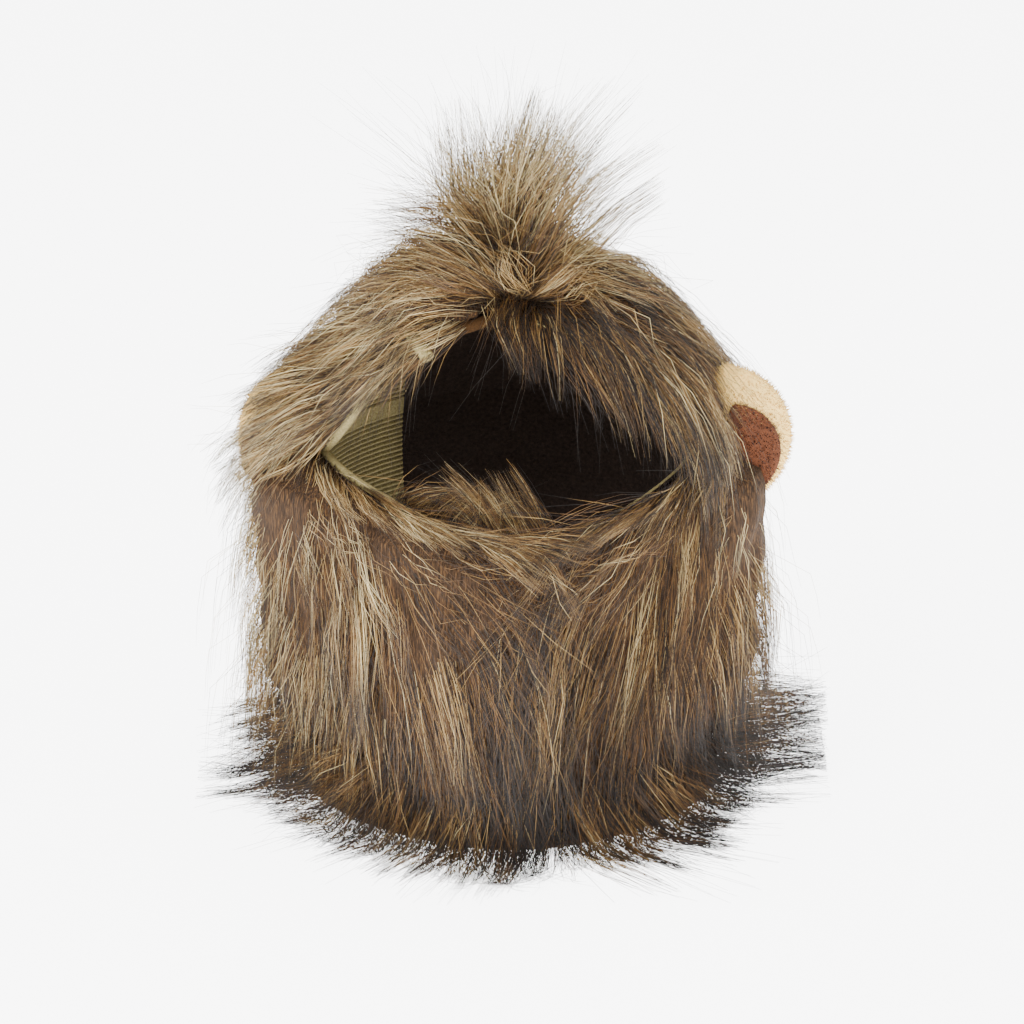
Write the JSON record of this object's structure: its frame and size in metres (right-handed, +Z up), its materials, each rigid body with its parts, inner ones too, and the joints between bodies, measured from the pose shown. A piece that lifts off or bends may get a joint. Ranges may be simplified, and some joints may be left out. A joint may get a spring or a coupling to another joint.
{
  "type": "pet lion mane wig",
  "caption": "Hood of long faux fur shaped as a lion's mane, with plush ears, a crown tuft, a face opening and an open neck that a pet's head goes into.",
  "frame": {"origin": "middle of the object's outer box, on the surface that it stands on", "axes": "-Y out of the face opening, +X to the right as seen from in front, +Z up through the crown"},
  "size_m": [0.196, 0.1846, 0.2446],
  "materials": {
    "mane_fur": "long faux fur",
    "ruff_fur": "long faux fur",
    "lining_knit": "matte",
    "ribbed_facing": "ribbed knit",
    "fastener_tape": "matte",
    "ear_plush": "short plush",
    "ear_patch": "short plush"
  },
  "bodies": {
    "root": {"crown_tuft": "mane_fur", "crest_strip": "mane_fur", "hood_left": "mane_fur", "hood_right": "mane_fur", "chin_flap_left": "mane_fur", "chin_flap_right": "mane_fur", "neck_back": "mane_fur", "neck_ruff": "ruff_fur", "lining": "lining_knit", "face_facing": "ribbed_facing", "touch_fastener": "fastener_tape", "ear_left_shell": "ear_plush", "ear_left_patch": "ear_patch", "ear_right_shell": "ear_plush", "ear_right_patch": "ear_patch"}
  },
  "joints": []
}
